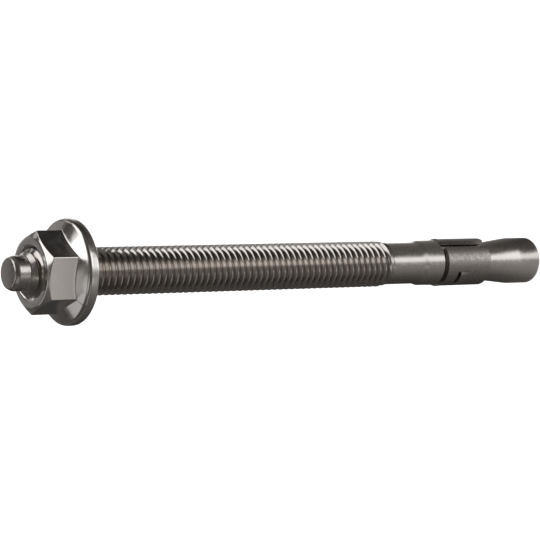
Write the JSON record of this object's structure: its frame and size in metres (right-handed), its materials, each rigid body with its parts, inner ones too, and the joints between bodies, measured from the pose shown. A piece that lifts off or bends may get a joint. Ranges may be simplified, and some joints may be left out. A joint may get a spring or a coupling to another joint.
{
  "type": "wedge anchor",
  "caption": "Stainless steel wedge anchor: threaded stud with a dog point, hexagon flange nut, collar, and expansion clip on a tapered cone end.",
  "frame": {"origin": "centre of the flat end of the cone, on the surface that the anchor stands on", "axes": "+Z along the anchor's axis, from the cone end to the threaded end; one flat of the nut faces -Y"},
  "size_m": [0.0218, 0.0218, 0.1353],
  "materials": {
    "bolt_steel": "cold-formed and rolled stainless steel, satin",
    "nut_steel": "bright stainless steel, tumbled",
    "clip_steel": "stamped stainless strip, satin with fine scratches"
  },
  "bodies": {
    "bolt": {"anchor_bolt": "bolt_steel"},
    "nut": {"flange_nut": "nut_steel"},
    "clip": {"expansion_clip": "clip_steel"}
  },
  "joints": [
    {"name": "nut_travel", "type": "slide", "parent": "bolt", "child": "nut", "axis": [0, 0, 1], "range_m": [-0.0765, 0.009]},
    {"name": "clip_turn", "type": "hinge", "parent": "bolt", "child": "clip", "pos_m": [0, 0, 0.021], "axis": [0, 0, 1], "continuous": true}
  ]
}
